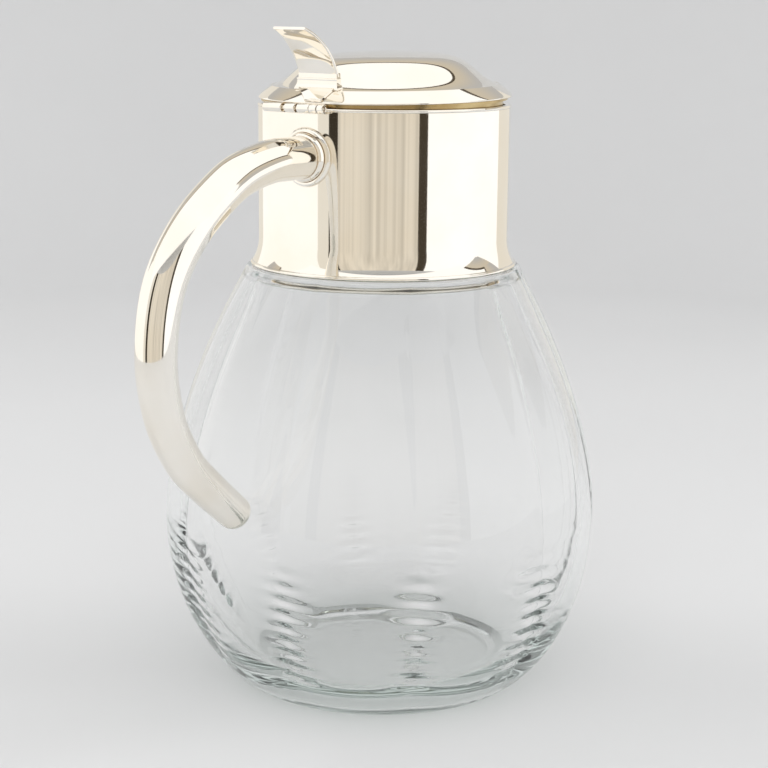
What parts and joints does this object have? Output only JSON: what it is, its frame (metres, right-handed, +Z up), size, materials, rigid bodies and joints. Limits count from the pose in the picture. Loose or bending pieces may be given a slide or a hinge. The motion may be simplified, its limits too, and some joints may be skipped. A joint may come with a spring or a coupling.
{
  "type": "lidded water pitcher",
  "caption": "Lobed clear glass pitcher with a plated metal collar, a hinged domed lid with a thumbpiece, and a C-shaped tubular handle hung from the collar.",
  "frame": {"origin": "centre of the foot, on the table", "axes": "+Z up the jug's axis, -X towards the handle, +X towards the pouring side, Y along the lid hinge"},
  "size_m": [0.2291, 0.176, 0.2643],
  "materials": {
    "glass": "clear, slightly green, fire-polished",
    "plaster": "matt set plaster",
    "silver_plate": "polished silver plate"
  },
  "bodies": {
    "jug": {"glass_body": "glass", "neck_cement": "plaster", "collar": "silver_plate", "collar_rim": "silver_plate", "skirt_bead": "silver_plate", "hinge_plate": "silver_plate", "collar_knuckles": "silver_plate", "hinge_pin": "silver_plate", "handle_boss": "silver_plate", "handle_ferrule": "silver_plate", "handle_tube": "silver_plate", "handle_tip": "silver_plate"},
    "lid": {"lid_shell": "silver_plate", "lid_bezel": "silver_plate", "lid_leaf": "silver_plate", "lid_knuckles": "silver_plate", "thumb_bracket": "silver_plate", "thumb_moulding": "silver_plate", "thumb_blade": "silver_plate"}
  },
  "joints": [
    {"name": "lid_hinge", "type": "hinge", "parent": "jug", "child": "lid", "pos_m": [-0.0523, 0, 0.234], "axis": [0, -1, 0], "range_deg": [0, 88]}
  ]
}
